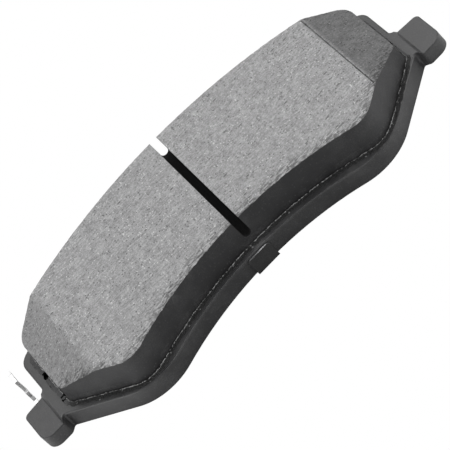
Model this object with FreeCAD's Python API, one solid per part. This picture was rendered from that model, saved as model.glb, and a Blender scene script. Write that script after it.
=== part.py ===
import FreeCAD, Part
import math
import os

# Disc brake pad. X runs along the pad's length, Y away from the disc's axle and Z towards the disc.
# The origin lies on the back of the shim, at the pad's effective radius from the axle.

# Disc track that the friction material covers
effectiveRadius = 134.5
outerTrackRadius = 162.3
innerTrackRadius = 106.7

# Thickness of each layer, counted from the back
adhesiveThickness = 0.1
rubberThickness = 0.15
coreThickness = 0.5
shimThickness = adhesiveThickness + 2 * rubberThickness + coreThickness
plateThickness = 6.0
underlayerThickness = 2.0
frictionThickness = 8.0

plateBack = shimThickness
plateFront = plateBack + plateThickness
frictionBack = plateFront + underlayerThickness
frictionFace = frictionBack + frictionThickness

# Friction block
frictionShift = 1.05  # the block sits a little towards the right ear
frictionHalfLength = 69.1
clipShift = 0.5  # the clipped corners sit nearly square on the plate
clipReach = 57.65  # where the outer corner is cut off
clipHeight = 17.3
clipAngle = -33.0
slopeReach = 56.1  # a point on the sloping lower side
slopeHeight = -31.3
slopeAngle = 42.0
outerCornerRadius = 6.8
innerCornerRadius = 3.0
lobeRadius = 8.0
mouldDraft = 0.3
chamferStart = 57.4
chamferDrop = 3.7
slotPlace = 2.0
slotWidth = 2.8
slotFloor = 9.5
flashReach = 1.1
flashThickness = 0.3

# Backing plate
plateMargin = 1.5
shoulderReach = 73.05
shoulderTop = 10.8
shoulderStart = 58.5
shoulderRadius = 5.2
earReach = 82.5
earOuterRoot = -6.3
earOuterTip = -7.3
earInner = -22.8
earOuterRadius = 1.8
earInnerRadius = 4.0
earRootRadius = 2.0
earStepReach = 74.4
earThickness = 4.9
earEdgeRadius = 0.35
reliefReach = 72.9
reliefWidth = 1.9
reliefTopRadius = 0.7
reliefFootRadius = 1.4
plateSlopeReach = 53.4
plateSlopeHeight = -37.85
plateSlopeAngle = 40.7
plateLobeRadius = 18.0
plateInnerRadius = 93.5
plateInnerHeight = -32.1
plateEdgeRadius = 0.6

# Retention holes that the underlayer fills
retentionRadius = 4.5
retentionColumns = (-44.0, -15.0, 19.0, 47.0)
retentionHeights = (-13.0, 4.0, 4.0, -13.0)

# Shim
shimMargin = 3.2
shimHalfLength = 61.0
shimFoot = -37.6
shimCornerRadius = 4.0
tabHalfWidth = 4.2
tabClearance = 0.25
tabBend = 0.3
tabTipRadius = 1.2
innerTabPlace = 0.2
innerTabDrop = 0.3  # below the plate's front
outerTabPlaces = (-30.0, 30.0)
outerTabHeight = 4.4

# Wear indicator
indicatorThickness = 1.0
indicatorRecess = 0.8
indicatorInner = -10.2
indicatorWidth = 7.4
indicatorStart = -61.5
bladePlace = -77.2
bladeRoot = -5.9  # just past the ear's outer side
rivetPlace = (-66.4, -6.5)
rivetShankRadius = 2.0
rivetHeadRadius = 3.1
rivetDepth = 4.0


def vector(x, y, z=0.0):
    return FreeCAD.Vector(x, y, z)


def direction(degrees):
    return vector(math.cos(math.radians(degrees)), math.sin(math.radians(degrees)))


def meet(pointA, wayA, pointB, wayB):
    """Where two lines cross."""
    cross = wayA.x * wayB.y - wayA.y * wayB.x
    gap = pointB - pointA
    return pointA + wayA * ((gap.x * wayB.y - gap.y * wayB.x) / cross)


def meetCircle(point, way, centre, radius, sign):
    """Where a line crosses a circle, on the side that sign picks."""
    along = (centre - point).dot(way)
    foot = point + way * along
    reach = math.sqrt(radius ** 2 - (foot - centre).Length ** 2)
    return foot + way * (sign * reach)


def roundedCorner(before, corner, after, radius):
    """Start, middle and end of the arc that rounds a corner."""
    back = (before - corner).normalize()
    ahead = (after - corner).normalize()
    half = back.getAngle(ahead) / 2
    setback = radius / math.tan(half)
    inward = (back + ahead).normalize()
    centre = corner + inward * (radius / math.sin(half))
    return corner + back * setback, centre - inward * radius, corner + ahead * setback


def lobeArc(centre, innerRadius, point, way, inward, radius):
    """Arc that rounds the lobe between a concave circle and a straight side."""
    middle = meetCircle(point + inward * radius, way, centre, innerRadius + radius, 1)
    if (middle - centre).y < 0:
        middle = meetCircle(point + inward * radius, way, centre, innerRadius + radius, -1)
    onCircle = centre + (middle - centre).normalize() * innerRadius
    onSide = middle - inward * radius
    crown = ((onCircle - middle) + (onSide - middle)).normalize()
    return onCircle, middle + crown * radius, onSide


def outlineFace(start, steps, height):
    """Face bounded by lines (a point) and arcs (a pair: point on the arc, end)."""
    edges = []
    here = start
    for step in steps:
        through, there = step if isinstance(step, tuple) else (None, step)
        if through is not None:
            edges.append(Part.Arc(here, through, there).toShape())
        elif (there - here).Length > 1e-6:
            edges.append(Part.LineSegment(here, there).toShape())
        here = there
    wire = Part.Wire(edges)
    wire.translate(vector(0, 0, height))
    return Part.Face(wire)


def frictionFaceAt(grow, height):
    """Outline of the friction block, grown outwards."""
    axle = vector(0, -effectiveRadius)
    innerCentre = vector(frictionShift, -effectiveRadius)
    sides = {}
    for side in (-1, 1):
        endX = frictionShift + side * (frictionHalfLength + grow)
        down = vector(0, -1)
        clipWay = vector(side, 0) * direction(clipAngle).x + vector(0, direction(clipAngle).y)
        clipOut = vector(side * math.sin(math.radians(-clipAngle)), math.cos(math.radians(clipAngle)))
        clipPoint = vector(clipShift + side * clipReach, clipHeight) + clipOut * grow
        slopeWay = vector(side * direction(slopeAngle).x, direction(slopeAngle).y)
        slopeOut = vector(side * math.sin(math.radians(slopeAngle)), -math.cos(math.radians(slopeAngle)))
        slopePoint = vector(frictionShift + side * slopeReach, slopeHeight) + slopeOut * grow
        top = meetCircle(clipPoint, clipWay, axle, outerTrackRadius + grow, -1)
        outerCorner = meet(clipPoint, clipWay, vector(endX, 0), down)
        innerCorner = meet(slopePoint, slopeWay, vector(endX, 0), down)
        lobe = lobeArc(innerCentre, innerTrackRadius - grow, slopePoint, slopeWay, slopeOut * -1,
                       lobeRadius + grow)
        outer = roundedCorner(top, outerCorner, innerCorner, outerCornerRadius + grow)
        inner = roundedCorner(outerCorner, innerCorner, lobe[2], innerCornerRadius + grow)
        sides[side] = (top, outer, inner, lobe)
    topR, outerR, innerR, lobeR = sides[1]
    topL, outerL, innerL, lobeL = sides[-1]
    steps = [
        (vector(0, outerTrackRadius + grow - effectiveRadius), topR),
        outerR[0], outerR[1:], innerR[0], innerR[1:], lobeR[2], (lobeR[1], lobeR[0]),
        (vector(frictionShift, innerTrackRadius - grow - effectiveRadius), lobeL[0]),
        lobeL[1:], innerL[2], (innerL[1], innerL[0]), outerL[2], (outerL[1], outerL[0]), topL,
    ]
    return outlineFace(topL, steps, height)


def plateFace(height):
    """Outline of the stamped plate with its two ears."""
    outerRadius = outerTrackRadius + plateMargin
    axle = vector(0, -effectiveRadius)
    innerCentre = vector(0, plateInnerHeight - plateInnerRadius)
    outerStart = -effectiveRadius + math.sqrt(outerRadius ** 2 - shoulderStart ** 2)
    way = direction(plateSlopeAngle)
    inward = vector(-way.y, way.x)
    slopePoint = vector(plateSlopeReach, plateSlopeHeight)
    slopeEnd = meet(slopePoint, way, vector(reliefReach, 0), vector(0, 1))
    lobe = lobeArc(innerCentre, plateInnerRadius, slopePoint, way, inward, plateLobeRadius)

    start = vector(shoulderStart, outerStart)
    shoulder = vector(shoulderReach, shoulderTop)
    root = vector(shoulderReach, earOuterRoot)
    tip = vector(earReach, earOuterTip)
    heel = vector(earReach, earInner)
    reliefFoot = vector(reliefReach + reliefWidth, earInner)
    corners = [
        roundedCorner(start, shoulder, root, shoulderRadius),
        roundedCorner(shoulder, root, tip, earRootRadius),
        roundedCorner(root, tip, heel, earOuterRadius),
        roundedCorner(tip, heel, reliefFoot, earInnerRadius),
        roundedCorner(heel, reliefFoot, slopeEnd, reliefFootRadius),
        roundedCorner(reliefFoot, slopeEnd, lobe[2], reliefTopRadius),
    ]

    def mirrored(point):
        return vector(-point.x, point.y)

    steps = [(vector(0, outerRadius - effectiveRadius), start)]
    for first, middle, last in corners:
        steps += [first, (middle, last)]
    steps += [lobe[2], (lobe[1], lobe[0])]
    steps += [(vector(0, plateInnerHeight), mirrored(lobe[0])), (mirrored(lobe[1]), mirrored(lobe[2]))]
    for first, middle, last in reversed(corners):
        steps += [mirrored(last), (mirrored(middle), mirrored(first))]
    steps += [mirrored(start)]
    return outlineFace(mirrored(start), steps, height)


def disc(x, y, radius, low, high):
    return Part.makeCylinder(radius, high - low, vector(x, y, low))


def block(lowX, highX, lowY, highY, low, high):
    return Part.makeBox(highX - lowX, highY - lowY, high - low, vector(lowX, lowY, low))


def sidePrism(points, lowX, highX):
    """Solid with a Y-Z outline, between two places along X."""
    corners = [vector(lowX, y, z) for y, z in points]
    return Part.Face(Part.makePolygon(corners + corners[:1])).extrude(vector(highX - lowX, 0))


def frontPrism(points, lowY, highY):
    """Solid with an X-Z outline, between two places along Y."""
    corners = [vector(x, lowY, z) for x, z in points]
    return Part.Face(Part.makePolygon(corners + corners[:1])).extrude(vector(0, highY - lowY))


def retentionPins(low, high):
    pins = [disc(x, y, retentionRadius, low, high) for x, y in zip(retentionColumns, retentionHeights)]
    return pins[0].fuse(pins[1:])


def edgesAt(solid, height):
    """Edges that lie flat at one height."""
    return [edge for edge in solid.Edges
            if abs(edge.BoundBox.ZMin - height) < 1e-4 and abs(edge.BoundBox.ZMax - height) < 1e-4]


def backingPlate():
    """Stamped plate: a full-thickness body between two thinner, coined ears."""
    earTop = plateBack + earThickness
    ears = plateFace(plateBack).extrude(vector(0, 0, earThickness))
    ears = ears.makeFillet(earEdgeRadius, edgesAt(ears, earTop))
    body = plateFace(plateBack).extrude(vector(0, 0, plateThickness))
    body = body.makeFillet(plateEdgeRadius, edgesAt(body, plateFront))
    step = [(earStepReach + 1, plateBack - 1), (earStepReach + 0.45, earTop), (earStepReach + 0.12, earTop + 0.4),
            (earStepReach - 0.12, plateFront - 0.35), (earStepReach - 0.5, plateFront)]
    limits = step + [(-x, z) for x, z in reversed(step)]
    plate = body.common(frontPrism(limits, -60, 60)).fuse(ears)
    plate = plate.cut(retentionPins(plateBack - 1, plateFront + 1))
    recess = block(-earReach + 4, indicatorStart, indicatorInner, indicatorInner + indicatorWidth,
                   plateBack - 1, plateBack + indicatorRecess)
    rivetHole = disc(*rivetPlace, rivetShankRadius, plateBack - 1, plateBack + rivetDepth)
    return plate.cut(recess).cut(rivetHole)


def underlayer():
    layer = frictionFaceAt(mouldDraft, plateFront).extrude(vector(0, 0, underlayerThickness))
    flash = frictionFaceAt(flashReach, plateFront).extrude(vector(0, 0, flashThickness))
    pins = retentionPins(plateBack, plateFront)
    return layer.fuse([flash, pins]).removeSplitter()


def frictionBlock():
    wires = [frictionFaceAt(mouldDraft, frictionBack).OuterWire, frictionFaceAt(0, frictionFace).OuterWire]
    friction = Part.makeLoft(wires, True, True)
    for side in (-1, 1):
        start = frictionShift + side * chamferStart
        end = frictionShift + side * frictionHalfLength
        run = end - start
        wedge = frontPrism([(start, frictionFace), (end + run, frictionFace - 2 * chamferDrop),
                            (end + run, frictionFace + 1), (start, frictionFace + 1)], -60, 60)
        friction = friction.cut(wedge)
    half = slotWidth / 2
    slot = block(slotPlace - half, slotPlace + half, -60, 60, slotFloor + half, frictionFace + 1)
    bottom = Part.makeCylinder(half, 120, vector(slotPlace, -60, slotFloor + half), vector(0, 1, 0))
    return friction.cut(slot.fuse(bottom))


def shimFlat(low, high):
    """Flat sheet of the shim: the plate's outline, set back by the margin and squared at the ends."""
    slopeRise = math.tan(math.radians(plateSlopeAngle))
    slopeShift = shimMargin / math.cos(math.radians(plateSlopeAngle))
    heelY = plateSlopeHeight + slopeShift + (shimHalfLength - plateSlopeReach) * slopeRise
    footX = shimHalfLength - (heelY - shimFoot) / slopeRise
    rightSide = [vector(footX, shimFoot), vector(shimHalfLength, heelY), vector(shimHalfLength, 60)]
    leftSide = [vector(-point.x, point.y) for point in reversed(rightSide)]
    corners = rightSide + leftSide
    sheet = Part.Face(Part.makePolygon(corners + corners[:1])).extrude(vector(0, 0, high - low))
    sheet.translate(vector(0, 0, low))
    outer = disc(0, -effectiveRadius, outerTrackRadius + plateMargin - shimMargin, low, high)
    inner = disc(0, plateInnerHeight - plateInnerRadius, plateInnerRadius + shimMargin, low - 1, high + 1)
    sheet = sheet.common(outer).cut(inner)
    upright = [edge for edge in sheet.Edges if edge.BoundBox.ZLength > (high - low) / 2]
    return sheet.makeFillet(shimCornerRadius, upright)


def foldedTab(x, edgeY, way, top, near, far):
    """Tab folded round the plate's edge at edgeY, between two distances from the plate."""
    def layer(depth, extra):
        outside = edgeY + way * (tabClearance + depth)
        back = edgeY - way * (shimMargin + 2)
        sheet = block(x - tabHalfWidth, x + tabHalfWidth, min(outside, back), max(outside, back),
                      plateBack - depth, top + extra)
        corner = [edge for edge in sheet.Edges
                  if abs(edge.BoundBox.ZMax - (plateBack - depth)) < 1e-6
                  and abs(edge.BoundBox.YMin - outside) < 1e-6 and abs(edge.BoundBox.YMax - outside) < 1e-6]
        sheet = sheet.makeFillet(tabBend + depth, corner)
        if extra == 0:
            tips = [edge for edge in sheet.Edges
                    if edge.BoundBox.ZMin > top - 1e-6 and edge.BoundBox.XLength < 1e-6]
            sheet = sheet.makeFillet(tabTipRadius, tips)
        return sheet
    return layer(far, 0).cut(layer(near, 1))


def shimLayer(near, far):
    """One layer of the shim with its tabs; near and far are distances from the plate's back."""
    outerEdge = outerTrackRadius + plateMargin - effectiveRadius
    parts = [foldedTab(innerTabPlace, plateInnerHeight, -1, plateFront - innerTabDrop, near, far)]
    for x in outerTabPlaces:
        drop = outerTrackRadius + plateMargin - math.sqrt((outerTrackRadius + plateMargin) ** 2 - x ** 2)
        slack = abs(x) / (outerTrackRadius + plateMargin) * tabHalfWidth
        parts.append(foldedTab(x, outerEdge - drop + slack, 1, plateBack + outerTabHeight, near, far))
    return shimFlat(plateBack - far, plateBack - near).fuse(parts).removeSplitter()


def wearIndicator():
    """Spring-steel strip: a riveted base, bent up into a blade that reaches over the shoulder."""
    low = plateBack + indicatorRecess - indicatorThickness
    high = low + indicatorThickness
    inner, outer = indicatorInner, indicatorInner + indicatorWidth
    base = block(bladePlace, indicatorStart - 0.2, inner + 0.1, outer - 0.1, low, high)
    bladeOutline = [(bladeRoot, low), (-1.6, low), (0.4, 2.2), (1.4, 4.3), (3.4, 4.3), (3.6, 8.3), (9.0, 8.3),
                    (9.0, 9.7), (2.3, 9.7), (2.2, 5.65), (0.1, 5.65), (-0.5, 3.9), (-1.3, 2.7), (-2.5, 2.3),
                    (bladeRoot, 2.3)]
    half = indicatorThickness / 2
    blade = sidePrism(bladeOutline, bladePlace - half, bladePlace + half)
    indicator = base.fuse(blade).removeSplitter()
    return indicator.cut(disc(*rivetPlace, rivetShankRadius, low - 1, high + 1))


def wearIndicatorRivet():
    low = plateBack + indicatorRecess - indicatorThickness
    head = disc(*rivetPlace, rivetHeadRadius, 0, low)
    shank = disc(*rivetPlace, rivetShankRadius, low, plateBack + rivetDepth)
    return head.fuse(shank).removeSplitter()


def save(name, shape):
    solids = shape.Solids
    print(name, "solids", len(solids), "valid", shape.isValid(), "volume", round(shape.Volume, 1))
    solid = solids[0] if len(solids) == 1 else Part.makeCompound(solids)
    solid.exportStep("parts/" + name + ".step")


os.makedirs("parts", exist_ok=True)
adhesiveEnd = adhesiveThickness
innerRubberEnd = adhesiveEnd + rubberThickness
coreEnd = innerRubberEnd + coreThickness

save("backing_plate", backingPlate())
save("underlayer", underlayer())
save("friction_block", frictionBlock())
save("shim_adhesive", shimFlat(plateBack - adhesiveEnd, plateBack))
save("shim_inner_rubber", shimLayer(adhesiveEnd, innerRubberEnd))
save("shim_steel_core", shimLayer(innerRubberEnd, coreEnd))
save("shim_outer_rubber", shimLayer(coreEnd, shimThickness))
save("wear_indicator", wearIndicator())
save("wear_indicator_rivet", wearIndicatorRivet())
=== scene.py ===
import bmesh
import bpy
import math
from mathutils import Matrix, Vector, kdtree, noise


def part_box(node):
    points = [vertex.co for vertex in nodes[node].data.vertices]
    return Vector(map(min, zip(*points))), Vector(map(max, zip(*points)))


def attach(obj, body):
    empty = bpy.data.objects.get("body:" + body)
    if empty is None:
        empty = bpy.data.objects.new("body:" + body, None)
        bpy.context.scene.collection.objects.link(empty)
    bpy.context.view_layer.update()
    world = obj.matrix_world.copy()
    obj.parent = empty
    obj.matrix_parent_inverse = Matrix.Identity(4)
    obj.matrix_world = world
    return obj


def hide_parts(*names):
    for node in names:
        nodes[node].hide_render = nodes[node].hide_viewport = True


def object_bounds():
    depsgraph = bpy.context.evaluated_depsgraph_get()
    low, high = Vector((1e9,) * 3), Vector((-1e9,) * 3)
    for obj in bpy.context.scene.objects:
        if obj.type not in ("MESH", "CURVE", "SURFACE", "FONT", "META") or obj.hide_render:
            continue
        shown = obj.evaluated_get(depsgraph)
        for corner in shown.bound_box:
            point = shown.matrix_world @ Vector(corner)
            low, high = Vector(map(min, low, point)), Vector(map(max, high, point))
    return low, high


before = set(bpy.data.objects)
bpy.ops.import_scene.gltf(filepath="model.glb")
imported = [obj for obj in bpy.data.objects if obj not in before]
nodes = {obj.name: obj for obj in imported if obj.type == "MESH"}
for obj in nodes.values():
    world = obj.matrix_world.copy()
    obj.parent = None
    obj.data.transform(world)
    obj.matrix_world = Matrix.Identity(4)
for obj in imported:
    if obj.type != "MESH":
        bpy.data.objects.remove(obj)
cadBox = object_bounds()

mm = 0.001
scene = bpy.context.scene
print("frame loaded:", len(nodes), "nodes")


# camera, light and floor

camera = {
    "azimuth": -0.385,  # degrees from +Y towards +X
    "elevation": 38.0,
    "roll": -46.02,
    "distance": 0.930,
    "lens": 256.0,
    "target": (-0.00086, -0.01611, 0.009),
}

studio = {
    "worldColor": (1.0, 1.0, 1.0, 1),
    "worldStrength": 0.46,
    # place, size, energy of each soft box; they all point at the object
    "boxes": {
        "overhead": ((0.16, 0.66, 1.15), 1.0, 10.3),
        "left": ((-1.0, -0.25, 0.5), 0.6, 5.0),
        "right": ((1.0, -0.25, 0.5), 0.6, 5.0),
    },
    "floorSize": 12.0,
    # bounce of the floor in front of the object and beyond its lobes, and where the one turns into the other
    "floorBounce": (0.42, 0.98),
    "floorTurn": (0.034, 0.060),
    "floorGlow": 1.0,
}


def makeCamera(c):
    azimuth, elevation = math.radians(c["azimuth"]), math.radians(c["elevation"])
    flat = math.cos(elevation)
    forward = Vector((math.sin(azimuth) * flat, math.cos(azimuth) * flat, -math.sin(elevation)))
    right = forward.cross(Vector((0, 0, 1))).normalized()
    up = right.cross(forward)
    turn = Matrix((right, up, -forward)).transposed() @ Matrix.Rotation(math.radians(c["roll"]), 3, "Z")
    data = bpy.data.cameras.new("camera")
    data.lens = c["lens"]
    data.sensor_width = 36
    data.clip_end = 20
    item = bpy.data.objects.new("camera", data)
    item.matrix_world = Matrix.Translation(Vector(c["target"]) - forward * c["distance"]) @ turn.to_4x4()
    bpy.context.collection.objects.link(item)
    scene.camera = item


def makeStudio(s):
    world = bpy.data.worlds.new("studio")
    world.use_nodes = True
    background = world.node_tree.nodes["Background"]
    background.inputs["Color"].default_value = s["worldColor"]
    background.inputs["Strength"].default_value = s["worldStrength"]
    scene.world = world
    scene.view_settings.view_transform = "Standard"

    for name, (place, size, energy) in s["boxes"].items():
        lamp = bpy.data.lights.new(name, "AREA")
        lamp.size = size
        lamp.energy = energy
        item = bpy.data.objects.new(name, lamp)
        item.location = place
        item.rotation_euler = Vector(place).to_track_quat("Z", "Y").to_euler()
        bpy.context.collection.objects.link(item)

    mesh = bpy.data.meshes.new("floor")
    bm = bmesh.new()
    bmesh.ops.create_grid(bm, x_segments=1, y_segments=1, size=s["floorSize"] / 2)
    bmesh.ops.translate(bm, vec=(0, 0, cadBox[0][2] - 0.02 * mm), verts=bm.verts)
    bm.to_mesh(mesh)
    bm.free()
    floor = bpy.data.objects.new("floor", mesh)
    bpy.context.collection.objects.link(floor)
    # the floor looks plain and pale, and throws back only a little light
    material = bpy.data.materials.new("floor")
    material.use_nodes = True
    tree = material.node_tree
    shader = tree.nodes["Principled BSDF"]
    place = tree.nodes.new("ShaderNodeTexCoord")
    split = tree.nodes.new("ShaderNodeSeparateXYZ")
    aside = tree.nodes.new("ShaderNodeMath")
    aside.operation = "ABSOLUTE"
    bounce = tree.nodes.new("ShaderNodeMapRange")
    for socket, value in zip(("From Min", "From Max", "To Min", "To Max"), s["floorTurn"] + s["floorBounce"]):
        bounce.inputs[socket].default_value = value
    tree.links.new(place.outputs["Object"], split.inputs[0])
    tree.links.new(split.outputs["X"], aside.inputs[0])
    tree.links.new(aside.outputs[0], bounce.inputs["Value"])
    tree.links.new(bounce.outputs["Result"], shader.inputs["Base Color"])
    shader.inputs["Roughness"].default_value = 0.9
    glow = tree.nodes.new("ShaderNodeEmission")
    glow.inputs["Strength"].default_value = s["floorGlow"]
    seen = tree.nodes.new("ShaderNodeLightPath")
    choose = tree.nodes.new("ShaderNodeMixShader")
    tree.links.new(seen.outputs["Is Camera Ray"], choose.inputs[0])
    tree.links.new(shader.outputs[0], choose.inputs[1])
    tree.links.new(glow.outputs[0], choose.inputs[2])
    tree.links.new(choose.outputs[0], tree.nodes["Material Output"].inputs["Surface"])
    mesh.materials.append(material)


makeCamera(camera)
makeStudio(studio)
print("studio ready")


# mesh helpers

# a merged copy of a CAD node's mesh as a bmesh, with its flat faces joined
def cadCopy(name, flatAngle=0.4):
    bm = bmesh.new()
    bm.from_mesh(nodes[name].data)
    bmesh.ops.remove_doubles(bm, verts=bm.verts, dist=0.001 * mm)
    bmesh.ops.dissolve_limit(bm, angle_limit=math.radians(flatAngle), verts=bm.verts, edges=bm.edges)
    return bm


def makePiece(name, bm, replaced, smooth=True):
    mesh = bpy.data.meshes.new(name)
    bm.to_mesh(mesh)
    bm.free()
    for face in mesh.polygons:
        face.use_smooth = smooth
    piece = bpy.data.objects.new(name, mesh)
    bpy.context.collection.objects.link(piece)
    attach(piece, "root")
    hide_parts(replaced)
    return piece


# smooth noise from -1 to 1 with features of about the given size
def speck(point, size, seed=0.0):
    return noise.noise(Vector((point[0] / size + seed, point[1] / size - seed, point[2] / size + 2 * seed)))


def ramp(value, low, high):
    return min(1.0, max(0.0, (value - low) / (high - low)))


# friction block

friction = {
    "topDepth": 4.5 * mm,  # the chamfers stay above this depth under the face
    "ridgeRound": 0.9 * mm,
    "rimStep": 0.35 * mm,
    "topRings": (0.22 * mm, 0.3 * mm, 0.4 * mm),
    "rubbed": 0.07 * mm,  # how far the whole rim is worn down
    "chip": 0.34 * mm,
    "chipReach": 0.9 * mm,
    "cleanSides": 0.22,  # chips on the outer side, the ends and the slot, next to 1 on the inner side
    "leftChamferShade": 0.45,  # how much the left chamfer is darkened, next to 1 on the right: partly a rougher ground tone, partly painted shade
}


# splits edges into short ones without touching their faces
def shortenEdges(bm, edges, step):
    for edge in edges:
        cuts = int(edge.calc_length() / step)
        if cuts:
            bmesh.ops.bisect_edges(bm, edges=[edge], cuts=cuts)


def makeFrictionBlock(f):
    bm = cadCopy("friction_block")
    chamferShadeLayer = bm.verts.layers.float.new("chamfer")
    low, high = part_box("friction_block")
    faceZ, backZ = high[2], low[2]

    def isTop(face):
        return face.normal.z > 0.9 and face.calc_center_median().z > faceZ - f["topDepth"]

    flat = [v.co.x for v in bm.verts if v.co.z > faceZ - 0.001 * mm]
    chamferLeft, chamferRight = min(flat), max(flat)
    ridges = [edge for edge in bm.edges if len(edge.link_faces) == 2 and all(isTop(face) for face in edge.link_faces)]
    bmesh.ops.bevel(bm, geom=ridges, offset=f["ridgeRound"], offset_type="OFFSET", affect="EDGES", segments=4,
                    profile=0.5, material=-1)
    bm.normal_update()

    tops = {face for face in bm.faces if isTop(face)}
    rim = [edge for edge in bm.edges if sum(face in tops for face in edge.link_faces) == 1]
    shortenEdges(bm, rim, f["rimStep"])
    bm.normal_update()
    tops = {face for face in bm.faces if isTop(face)}
    rim = [edge for edge in bm.edges if sum(face in tops for face in edge.link_faces) == 1]

    # where the rim is, which way its wall faces, and how much it crumbles there
    rimPlaces = []
    for edge in rim:
        wall = next(face for face in edge.link_faces if face not in tops)
        inner = f["cleanSides"] + (1 - f["cleanSides"]) * ramp(-wall.normal.y, 0.3, 0.6)
        rimPlaces.append((edge.verts[0].co.copy(), wall.normal.copy(), inner))
    tree = kdtree.KDTree(len(rimPlaces))
    for i, place in enumerate(rimPlaces):
        tree.insert(place[0], i)
    tree.balance()

    for width in f["topRings"]:
        bmesh.ops.inset_region(bm, faces=list(tops), thickness=width, use_even_offset=True, use_boundary=True)
        tight = list({v for face in tops for v in face.verts})
        bmesh.ops.remove_doubles(bm, verts=tight, dist=f["rimStep"] / 2)
        tops = {face for face in tops if face.is_valid}
    bm.normal_update()

    for v in bm.verts:
        lifts = [face.normal.z for face in v.link_faces]
        near, index, gap = tree.find(v.co)
        place, wallWay, inner = rimPlaces[index]
        onTop = min(lifts) > 0.9 and v.co.z > faceZ - f["topDepth"]
        onRim = gap < 0.02 * mm
        # painted shade on the chamfers, partly their rougher ground tone: 1 on the right chamfer, which faces away
        # from the light, less on the left
        v[chamferShadeLayer] = ramp(v.co.x - chamferRight, -f["ridgeRound"], f["ridgeRound"]) + f["leftChamferShade"] * ramp(
            chamferLeft - v.co.x, -f["ridgeRound"], f["ridgeRound"])
        if gap < f["chipReach"]:
            rough = (speck(v.co, 1.7 * mm, 3.1) + 0.8 * speck(v.co, 0.7 * mm, 7.7)) / 1.3
            fade = 1 - ramp(gap, 0, f["chipReach"])
            chip = f["chip"] * inner * ramp(rough, 0.0, 0.5) * fade * fade
            rub = f["rubbed"] * (1 - ramp(gap, 0, 0.5 * mm)) * (1 + 0.8 * speck(v.co, 0.9 * mm, 1.3))
            sink = chip + rub
            down, side = (1.0, 0.2) if onTop else (0.8, 0.3) if onRim else (0.0, 0.3)
            v.co -= sink * (down * Vector((0, 0, 1)) + side * wallWay)
        v.co.z = min(v.co.z, faceZ)
    bmesh.ops.dissolve_degenerate(bm, dist=0.001 * mm, edges=bm.edges)
    bmesh.ops.triangulate(bm, faces=[face for face in bm.faces if len(face.verts) > 4])
    bmesh.ops.recalc_face_normals(bm, faces=bm.faces)
    piece = makePiece("ground_friction_block", bm, "friction_block")
    sharpen(piece, 40)
    return piece


# keeps the edges sharper than the angle crisp
def sharpen(piece, degrees):
    bm = bmesh.new()
    bm.from_mesh(piece.data)
    for edge in bm.edges:
        if len(edge.link_faces) == 2:
            edge.smooth = edge.calc_face_angle() < math.radians(degrees)
    bm.to_mesh(piece.data)
    bm.free()


frictionPiece = makeFrictionBlock(friction)
print("friction block:", len(frictionPiece.data.polygons), "faces")


# underlayer with its flash

flash = {
    "step": 0.30 * mm,
    # distance out from the wall and height over the plate, in mm, down the wall and over the flash
    "profile": ((0.0, 1.6), (0.01, 1.1), (0.02, 0.6), (0.02, 0.25), (0.03, 0.02), (0.25, 0.0), (0.5, 0.02),
                (0.6, 0.22), (0.69, 0.46), (0.78, 0.46), (0.88, 0.22), (1.05, 0.14), (1.3, 0.17), (1.55, 0.12),
                (1.8, 0.15), (2.05, 0.1), (2.25, 0.02)),
    "crest": 0.735,  # where the lip stands, as a distance in the profile
    "crestWidth": 0.17,
    # place and radius of the pits that the moulding left at the ends
    "pits": ((-69.9 * mm, -2.3 * mm, 1.7 * mm), (-69.6 * mm, -15.9 * mm, 1.3 * mm),
             (71.4 * mm, -10.0 * mm, 1.0 * mm)),
    "wander": 0.36 * mm,
    "lumps": 0.20 * mm,
    "film": 0.03 * mm,  # what is left of the flash in a pit
    "narrow": 0.42,  # width of the flash away from the inner side, next to 1 there
}


# outward direction in plan at each point of a closed loop that runs anticlockwise
def outwardWays(loop):
    count = len(loop)
    ways = []
    for i in range(count):
        along = (loop[(i + 2) % count] - loop[i - 2]).normalized()
        ways.append(Vector((along.y, -along.x, 0)))
    return ways


# the vertices of a closed loop of edges, in order
def walkLoop(edges):
    here = edges[0].verts[0]
    edge = edges[0]
    ring = []
    chosen = set(edges)
    while True:
        ring.append(here)
        here = edge.other_vert(here)
        if here == ring[0]:
            return ring
        edge = next(e for e in here.link_edges if e in chosen and e != edge)


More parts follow.
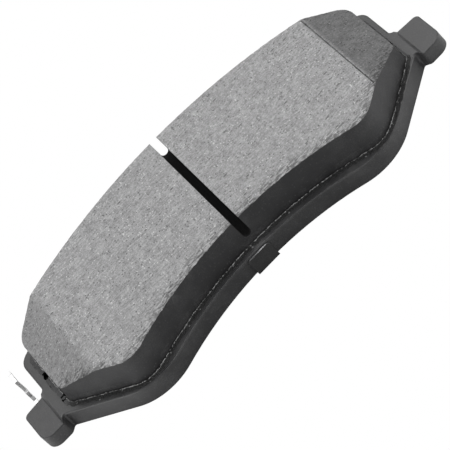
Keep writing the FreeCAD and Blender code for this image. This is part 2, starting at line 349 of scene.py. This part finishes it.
def makeUnderlayer(f):
    bm = cadCopy("underlayer", 0.01)
    lip = bm.verts.layers.float.new("lip")
    band = bm.verts.layers.float.new("band")
    low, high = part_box("underlayer")
    top = {face for face in bm.faces if face.normal.z > 0.99 and face.calc_center_median().z > high[2] - 0.01 * mm}
    bmesh.ops.delete(bm, geom=[face for face in bm.faces if face not in top], context="FACES")
    shortenEdges(bm, [e for e in bm.edges if len(e.link_faces) == 1], f["step"])
    rim = [e for e in bm.edges if len(e.link_faces) == 1]
    ring = walkLoop(rim)
    points = [v.co.copy() for v in ring]
    area = sum(points[i - 1].x * points[i].y - points[i].x * points[i - 1].y for i in range(len(points)))
    if area < 0:
        ring.reverse()
        points.reverse()
    ways = outwardWays(points)
    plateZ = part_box("backing_plate")[1][2]
    for out, height in f["profile"]:
        grown = bmesh.ops.extrude_edge_only(bm, edges=rim)
        newVerts = [g for g in grown["geom"] if isinstance(g, bmesh.types.BMVert)]
        rim = [g for g in grown["geom"] if isinstance(g, bmesh.types.BMEdge)]
        tree = kdtree.KDTree(len(ring))
        for i, v in enumerate(ring):
            tree.insert(v.co, i)
        tree.balance()
        order = {}
        for v in newVerts:
            order[tree.find(v.co)[1]] = v
        ring = [order[i] for i in range(len(ring))]
        crest = 1 - ramp(abs(out - f["crest"]), 0.0, f["crestWidth"])
        for i, v in enumerate(ring):
            base, way = points[i], ways[i]
            leftEnd = ramp(-base.x, 58 * mm, 62 * mm) * (1 - ramp(abs(way.y), 0.2, 0.5))
            roomy = max(ramp(-way.y, 0.1, 0.6), leftEnd)
            wide = f["narrow"] + (1 - f["narrow"]) * roomy
            reach = out * mm * wide
            loose = ramp(out, 0.1, 1.2)
            wander = f["wander"] * loose * wide * (speck(base, 2.6 * mm, 2.0) + 0.9 * speck(base, 0.65 * mm, 4.0))
            broken = 0.7 + 0.9 * speck(base, 0.6 * mm, 6.0) + 0.35 * speck(base, 3.5 * mm, 8.0)
            lump = f["lumps"] * ramp(out, 0.7, 0.9) * ramp(height, 0, 0.1) * speck(
                base + way * out * mm, 0.6 * mm, 6.0)
            v.co = base + way * (reach + wander)
            rise = max(0.0, (height * (1 - crest) + height * crest * max(0.25, broken)) * mm + lump)
            for x, y, radius in f["pits"]:
                if 0 < height < 0.5:
                    rise = max(f["film"], rise * ramp((Vector((x, y)) - v.co.xy).length, 0.5 * radius, radius))
            v.co.z = plateZ + rise
            # lip: the broken crest of the flash, which gets a painted highlight, partly rubbed paint
            v[lip] = crest * ramp(broken, 0.1, 0.9)
            # band: the flash beyond the lip on the inner side, which gets painted shade, dust specks and gravel
            v[band] = ramp(out, 0.6, 0.9) * ramp(-way.y, 0.1, 0.5)
    bmesh.ops.holes_fill(bm, edges=rim, sides=0)
    bmesh.ops.recalc_face_normals(bm, faces=bm.faces)
    piece = makePiece("moulded_underlayer", bm, "underlayer")
    sharpen(piece, 55)
    return piece


underlayerPiece = makeUnderlayer(flash)
print("underlayer:", len(underlayerPiece.data.polygons), "faces")


# materials

# add a shader node; an input given as a socket is linked, anything else is its value
def addNode(tree, kind, inputs=None, **settings):
    node = tree.nodes.new("ShaderNode" + kind)
    for name, value in settings.items():
        setattr(node, name, value)
    for name, value in (inputs or {}).items():
        socket = node.inputs[name]
        if isinstance(value, bpy.types.NodeSocket):
            tree.links.new(value, socket)
        else:
            socket.default_value = value
    return node


def mixColor(tree, factor, first, second):
    node = addNode(tree, "Mix", data_type="RGBA")
    for index, value in ((0, factor), (6, first), (7, second)):
        if isinstance(value, bpy.types.NodeSocket):
            tree.links.new(value, node.inputs[index])
        else:
            node.inputs[index].default_value = value
    return node.outputs[2]


def math2(tree, operation, first, second=0.0, clamp=False):
    return addNode(tree, "Math", {0: first, 1: second}, operation=operation, use_clamp=clamp).outputs[0]


def rampNode(tree, value, low, high, toLow=0.0, toHigh=1.0):
    return addNode(tree, "MapRange", {"Value": value, "From Min": low, "From Max": high, "To Min": toLow,
                                      "To Max": toHigh}, interpolation_type="SMOOTHSTEP").outputs["Result"]


def noiseNode(tree, place, scale, detail=2.0, roughness=0.5):
    return addNode(tree, "TexNoise", {"Vector": place, "Scale": scale, "Detail": detail,
                                      "Roughness": roughness}).outputs["Fac"]


def newGroup(name, inputs, outputs):
    tree = bpy.data.node_groups.new(name, "ShaderNodeTree")
    for socket, kind in inputs:
        tree.interface.new_socket(socket, in_out="INPUT", socket_type="NodeSocket" + kind)
    for socket, kind in outputs:
        tree.interface.new_socket(socket, in_out="OUTPUT", socket_type="NodeSocket" + kind)
    start = tree.nodes.new("NodeGroupInput").outputs
    end = tree.nodes.new("NodeGroupOutput").inputs
    return tree, start, end


def placeGroup(tree, group, inputs):
    node = tree.nodes.new("ShaderNodeGroup")
    node.node_tree = group
    for name, value in inputs.items():
        if isinstance(value, bpy.types.NodeSocket):
            tree.links.new(value, node.inputs[name])
        else:
            node.inputs[name].default_value = value
    return node.outputs


def newMaterial(name):
    material = bpy.data.materials.new(name)
    material.use_nodes = True
    tree = material.node_tree
    return material, tree, tree.nodes["Principled BSDF"], addNode(tree, "TexCoord").outputs["Object"]


def bumpInto(tree, shader, height, distance, strength=1.0):
    bump = addNode(tree, "Bump", {"Height": height, "Distance": distance, "Strength": strength})
    tree.links.new(bump.outputs["Normal"], shader.inputs["Normal"])


# scattered grains: cells of a Voronoi pattern, of which only a share is kept
def scatterGroup():
    tree, start, end = newGroup("scattered grains", [("Place", "Vector"), ("Scale", "Float"), ("Share", "Float"),
                                                     ("Size", "Float")], [("Mask", "Float")])
    cells = addNode(tree, "TexVoronoi", {"Vector": start["Place"], "Scale": start["Scale"]})
    pick = addNode(tree, "SeparateColor", {"Color": cells.outputs["Color"]}).outputs[0]
    kept = math2(tree, "LESS_THAN", pick, start["Share"])
    edge = math2(tree, "MULTIPLY", start["Size"], 0.6)
    near = addNode(tree, "MapRange", {"Value": cells.outputs["Distance"], "From Min": start["Size"], "From Max": edge,
                                      "To Min": 0.0, "To Max": 1.0}).outputs["Result"]
    tree.links.new(math2(tree, "MULTIPLY", kept, near), end["Mask"])
    return tree


# thin satin paint: orange peel, dust in it and duller patches
def paintGroup():
    tree, start, end = newGroup("satin paint", [("Place", "Vector"), ("Color", "Color"), ("Dusty", "Color"),
                                                ("Dust", "Float"), ("Gloss", "Float")],
                                [("Color", "Color"), ("Roughness", "Float"), ("Height", "Float")])
    peel = noiseNode(tree, start["Place"], 900.0, 3.0, 0.55)
    broad = noiseNode(tree, start["Place"], 120.0, 4.0, 0.6)
    fine = noiseNode(tree, start["Place"], 4200.0, 2.0, 0.6)
    dust = math2(tree, "MULTIPLY", rampNode(tree, math2(tree, "MULTIPLY", broad, fine), 0.18, 0.42), start["Dust"])
    grit = placeGroup(tree, grains, {"Place": start["Place"], "Scale": 1300.0, "Share": 0.30, "Size": 0.34})["Mask"]
    dust = math2(tree, "MAXIMUM", dust, math2(tree, "MULTIPLY", grit, math2(tree, "MULTIPLY", start["Dust"], 0.9)))
    tree.links.new(mixColor(tree, dust, start["Color"], start["Dusty"]), end["Color"])
    rough = math2(tree, "ADD", start["Gloss"], math2(tree, "MULTIPLY", math2(tree, "SUBTRACT", broad, 0.5), 0.28))
    tree.links.new(math2(tree, "ADD", rough, math2(tree, "MULTIPLY", dust, 0.2), True), end["Roughness"])
    height = math2(tree, "ADD", math2(tree, "MULTIPLY", peel, 0.7), math2(tree, "MULTIPLY", fine, 0.3))
    tree.links.new(height, end["Height"])
    return tree


grains = scatterGroup()
paint = paintGroup()

compound = {
    "dark": (0.150, 0.150, 0.151, 1),
    "light": (0.412, 0.412, 0.414, 1),
    # colour of painted shade in the pits, holes and cracks
    "pitShade": (0.07, 0.07, 0.07, 1),
    "fleck": (0.62, 0.62, 0.62, 1),
    # how far the chamfers are darkened: partly a rougher ground tone, partly painted shade
    "chamferShade": 0.42,
    "paint": (0.026, 0.026, 0.027, 1),
    "dust": (0.10, 0.10, 0.10, 1),
    "bump": 0.12 * mm,
    "paintedBelow": 11.6 * mm,
    "slot": (2.0 * mm, 10.9 * mm, 1.44 * mm),  # place and height of the round bottom's axis, and its radius
    # near-black painted shade inside the slot
    "slotShade": (0.004, 0.004, 0.004, 1),
    "axle": (1.05 * mm, -134.5 * mm, 16.9 * mm),
    "middle": (1.05 * mm, 0, 0),
    "innerTrack": 106.7 * mm,
    "slopeWay": (0.669, 0.743),  # outwards from the sloping lower sides
    "slopeReach": 60.8 * mm,
    "crumbleReach": 5.5 * mm,
}


def frictionMaterial(c):
    material, tree, shader, place = newMaterial("ground friction compound")
    chamfer = addNode(tree, "Attribute", attribute_name="chamfer").outputs["Fac"]

    # bare where the surface was ground, painted on the walls and in the slot
    facing = addNode(tree, "SeparateXYZ", {0: addNode(tree, "NewGeometry").outputs["True Normal"]}).outputs["Z"]
    height = addNode(tree, "SeparateXYZ", {0: place}).outputs["Z"]
    speckle = noiseNode(tree, place, 2300.0, 4.0, 0.7)
    bare = math2(tree, "MULTIPLY", rampNode(tree, facing, 0.45, 0.62),
                 rampNode(tree, height, c["paintedBelow"], c["paintedBelow"] + 0.5 * mm))

    # distance from the inner arc and from the sloping sides, where the ground face crumbles
    axleGap = addNode(tree, "VectorMath", {0: place, 1: c["axle"]}, operation="DISTANCE").outputs["Value"]
    fold = addNode(tree, "VectorMath", {0: addNode(tree, "VectorMath", {0: place, 1: c["middle"]},
                                                   operation="SUBTRACT").outputs[0]}, operation="ABSOLUTE").outputs[0]
    lower = addNode(tree, "VectorMath", {0: place, 1: (0, -1, 0)}, operation="DOT_PRODUCT").outputs["Value"]
    fold = addNode(tree, "SeparateXYZ", {0: fold}).outputs["X"]
    slopeGap = math2(tree, "ADD", math2(tree, "MULTIPLY", fold, c["slopeWay"][0]),
                     math2(tree, "MULTIPLY", lower, c["slopeWay"][1]))
    arcEdge = rampNode(tree, axleGap, c["innerTrack"], c["innerTrack"] + c["crumbleReach"], 1.0, 0.0)
    slopeEdge = rampNode(tree, slopeGap, c["slopeReach"] - c["crumbleReach"], c["slopeReach"])
    broad = noiseNode(tree, place, 190.0, 3.0, 0.55)
    patch = rampNode(tree, noiseNode(tree, place, 330.0, 2.0, 0.5), 0.30, 0.56)
    crumble = math2(tree, "MULTIPLY", math2(tree, "MAXIMUM", arcEdge, slopeEdge), patch)

    along = addNode(tree, "Mapping", {"Vector": place, "Scale": (0.35, 1.0, 1.0)}).outputs["Vector"]
    sideways = addNode(tree, "Mapping", {"Vector": place, "Scale": (1.0, 0.35, 1.0)}).outputs["Vector"]
    streak = noiseNode(tree, along, 1500.0, 3.0, 0.65)
    cross = noiseNode(tree, sideways, 1100.0, 3.0, 0.6)
    total = math2(tree, "ADD", math2(tree, "MULTIPLY", speckle, 0.45), math2(tree, "MULTIPLY", streak, 0.30))
    total = math2(tree, "ADD", total, math2(tree, "MULTIPLY", cross, 0.17))
    total = math2(tree, "ADD", total, math2(tree, "MULTIPLY", broad, 0.08))
    rubble = noiseNode(tree, along, 1250.0, 4.0, 0.75)
    rubble = math2(tree, "MULTIPLY", math2(tree, "SUBTRACT", rubble, 0.53), math2(tree, "MULTIPLY", crumble, 2.4))
    total = math2(tree, "ADD", total, rubble)
    tone = rampNode(tree, total, 0.34, 0.66)

    pits = placeGroup(tree, grains, {"Place": place, "Scale": 1150.0, "Share": 0.24, "Size": 0.34})["Mask"]
    holes = placeGroup(tree, grains, {"Place": along, "Scale": 620.0, "Share": 0.10, "Size": 0.20})["Mask"]
    cracks = placeGroup(tree, grains, {"Place": along, "Scale": 900.0, "Share": 0.55, "Size": 0.38})["Mask"]
    flecks = placeGroup(tree, grains, {"Place": place, "Scale": 1300.0, "Share": 0.15, "Size": 0.34})["Mask"]
    # pits, holes and cracks, more of them where the face crumbles, get painted shade and are sunk by the bump
    hollow = math2(tree, "MAXIMUM", pits, holes)
    hollow = math2(tree, "MAXIMUM", hollow, math2(tree, "MULTIPLY", math2(tree, "MULTIPLY", cracks, 1.4, True), crumble))

    color = mixColor(tree, tone, c["dark"], c["light"])
    color = mixColor(tree, math2(tree, "MULTIPLY", hollow, 0.8), color, c["pitShade"])
    color = mixColor(tree, math2(tree, "MULTIPLY", flecks, 0.75), color, c["fleck"])
    # the chamfers are darkened towards black in random patches: partly a rougher ground tone, partly painted shade
    shade = math2(tree, "MULTIPLY", chamfer, 1 - c["chamferShade"], True)
    shade = math2(tree, "MULTIPLY", shade, rampNode(tree, broad, 0.2, 0.75, 0.86, 1.12), True)
    color = mixColor(tree, shade, color, (0, 0, 0, 1))

    coat = placeGroup(tree, paint, {"Place": place, "Color": c["paint"], "Dusty": c["dust"], "Dust": 0.35,
                                    "Gloss": 0.52})
    # painted shade inside the slot: near black within the round bottom's radius of the slot axis, and rough
    across = math2(tree, "SUBTRACT", addNode(tree, "SeparateXYZ", {0: place}).outputs["X"], c["slot"][0])
    under = math2(tree, "MAXIMUM", math2(tree, "SUBTRACT", c["slot"][1], height), 0.0)
    reach = addNode(tree, "CombineXYZ", {"X": across, "Y": under}).outputs[0]
    reach = addNode(tree, "VectorMath", {0: reach}, operation="LENGTH").outputs["Value"]
    fromSlot = math2(tree, "LESS_THAN", reach, c["slot"][2])
    wallsWithSlotShade = mixColor(tree, fromSlot, coat["Color"], c["slotShade"])
    tree.links.new(mixColor(tree, bare, wallsWithSlotShade, color), shader.inputs["Base Color"])

    rough = math2(tree, "SUBTRACT", 0.84, math2(tree, "MULTIPLY", flecks, 0.45))
    wallRough = math2(tree, "MAXIMUM", coat["Roughness"], fromSlot)
    roughness = addNode(tree, "Mix", {0: bare, 2: wallRough, 3: rough}).outputs[0]
    tree.links.new(roughness, shader.inputs["Roughness"])
    tree.links.new(math2(tree, "MULTIPLY", math2(tree, "MULTIPLY", flecks, bare), 0.6), shader.inputs["Metallic"])
    shader.inputs["Specular IOR Level"].default_value = 0.4

    grit = math2(tree, "MULTIPLY", total, math2(tree, "ADD", 1.4, math2(tree, "MULTIPLY", crumble, 2.2)))
    relief = math2(tree, "SUBTRACT", grit, math2(tree, "MULTIPLY", hollow, 0.9))
    bumpHeight = addNode(tree, "Mix", {0: bare, 2: math2(tree, "MULTIPLY", coat["Height"], 0.35),
                                       3: relief}).outputs[0]
    bumpInto(tree, shader, bumpHeight, c["bump"])
    return material


# satin black paint; where a mesh has the attributes lip and band, the lip's crest gets a painted highlight, partly
# rubbed paint, and the band gets painted shade, lighter dust specks and gravel
def paintedMaterial(name, c):
    material, tree, shader, place = newMaterial(name)
    coat = placeGroup(tree, paint, {"Place": place, "Color": c["color"], "Dusty": c["dust"], "Dust": c["amount"],
                                    "Gloss": c["gloss"]})
    color = coat["Color"]
    height = coat["Height"]
    if c["lip"]:
        lip = addNode(tree, "Attribute", attribute_name="lip").outputs["Fac"]
        band = addNode(tree, "Attribute", attribute_name="band").outputs["Fac"]
        breakupNoise = noiseNode(tree, place, 1900.0, 3.0, 0.7)
        # a painted highlight along the lip's crest, partly rubbed paint, broken into patches
        rubbed = math2(tree, "MULTIPLY", rampNode(tree, lip, 0.08, 0.4), rampNode(tree, breakupNoise, 0.38, 0.56))
        # painted shade on the band next to the friction block's wall
        color = mixColor(tree, math2(tree, "MULTIPLY", band, 0.75), color, c["bandShade"])
        specks = placeGroup(tree, grains, {"Place": place, "Scale": 900.0, "Share": 0.24, "Size": 0.30})["Mask"]
        specks = math2(tree, "MULTIPLY", specks, band)
        rubbed = math2(tree, "MAXIMUM", rubbed, math2(tree, "MULTIPLY", specks, 0.5))
        color = mixColor(tree, math2(tree, "MULTIPLY", rubbed, c["lip"], True), color, c["rubbed"])
        gravel = math2(tree, "MULTIPLY", math2(tree, "MULTIPLY", breakupNoise, band), 5.0)
        height = math2(tree, "ADD", height, gravel)
    tree.links.new(color, shader.inputs["Base Color"])
    tree.links.new(coat["Roughness"], shader.inputs["Roughness"])
    shader.inputs["Specular IOR Level"].default_value = c["specular"]
    bumpInto(tree, shader, height, c["bump"])
    return material


platePaint = {
    "color": (0.026, 0.026, 0.027, 1),
    "dust": (0.11, 0.11, 0.11, 1),
    "amount": 0.42,
    "gloss": 0.42,
    "specular": 0.5,
    "lip": 0.0,
    "bump": 0.03 * mm,
}

flashPaint = {
    "color": (0.024, 0.024, 0.025, 1),
    "dust": (0.12, 0.12, 0.12, 1),
    "amount": 0.5,
    "gloss": 0.55,
    "specular": 0.45,
    "lip": 1.0,
    # colour of the painted highlight on the lip, partly rubbed paint, and of the dust specks on the band
    "rubbed": (0.40, 0.40, 0.40, 1),
    # colour of the painted shade on the band
    "bandShade": (0.010, 0.010, 0.010, 1),
    # colour of the painted shade inside the pits of the flash
    "pitShade": (0.003, 0.003, 0.003, 1),
    "bump": 0.09 * mm,
}

rubberCoat = {
    "color": (0.022, 0.022, 0.022, 1),
    "dust": (0.08, 0.08, 0.08, 1),
    "amount": 0.4,
    "gloss": 0.62,
    "specular": 0.4,
    "lip": 0.0,
    "bump": 0.02 * mm,
}


# painted shade for the inside of a pit: black with a few crumbs, and no reflection
def pitShadeMaterial(color):
    material, tree, shader, place = newMaterial("painted pit shade")
    crumbs = placeGroup(tree, grains, {"Place": place, "Scale": 1800.0, "Share": 0.12, "Size": 0.3})["Mask"]
    tree.links.new(mixColor(tree, crumbs, color, (0.03, 0.03, 0.03, 1)), shader.inputs["Base Color"])
    shader.inputs["Specular IOR Level"].default_value = 0.0
    shader.inputs["Roughness"].default_value = 1.0
    return material


def steelMaterial(name, color, roughness, bump):
    material, tree, shader, place = newMaterial(name)
    brushed = addNode(tree, "Mapping", {"Vector": place, "Scale": (1.0, 0.08, 1.0)}).outputs["Vector"]
    lines = noiseNode(tree, brushed, 4000.0, 3.0, 0.6)
    stain = noiseNode(tree, place, 350.0, 3.0, 0.6)
    dull = tuple(channel * 0.72 for channel in color[:3]) + (1,)
    tree.links.new(mixColor(tree, rampNode(tree, stain, 0.35, 0.7), color, dull), shader.inputs["Base Color"])
    tree.links.new(rampNode(tree, stain, 0.3, 0.75, roughness - 0.07, roughness + 0.12), shader.inputs["Roughness"])
    shader.inputs["Metallic"].default_value = 1.0
    bumpInto(tree, shader, lines, bump)
    return material


def setMaterial(item, material):
    item.data.materials.clear()
    item.data.materials.append(material)


setMaterial(frictionPiece, frictionMaterial(compound))
setMaterial(underlayerPiece, paintedMaterial("painted flash", flashPaint))
# faces inside the pits of the flash get the painted pit shade
underlayerPiece.data.materials.append(pitShadeMaterial(flashPaint["pitShade"]))
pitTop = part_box("backing_plate")[1][2] + 1.4 * mm
for face in underlayerPiece.data.polygons:
    for x, y, radius in flash["pits"]:
        ragged = 1 + 0.3 * speck(face.center, 0.9 * mm, 5.0)
        if face.center.z < pitTop and (face.center.xy - Vector((x, y))).length < radius * ragged:
            face.material_index = 1
setMaterial(nodes["backing_plate"], paintedMaterial("satin plate paint", platePaint))
rubber = paintedMaterial("shim rubber", rubberCoat)
setMaterial(nodes["shim_outer_rubber"], rubber)
setMaterial(nodes["shim_inner_rubber"], rubber)
setMaterial(nodes["shim_steel_core"], steelMaterial("shim steel", (0.42, 0.42, 0.43, 1), 0.38, 0.01 * mm))
setMaterial(nodes["wear_indicator"], steelMaterial("bright spring steel", (0.86, 0.86, 0.86, 1), 0.40, 0.004 * mm))
setMaterial(nodes["wear_indicator_rivet"], steelMaterial("plated rivet", (0.62, 0.62, 0.63, 1), 0.35, 0.008 * mm))
setMaterial(nodes["shim_adhesive"], paintedMaterial("adhesive film", {
    **rubberCoat, "color": (0.26, 0.24, 0.19, 1), "dust": (0.35, 0.33, 0.28, 1), "gloss": 0.4}))
print("materials ready")
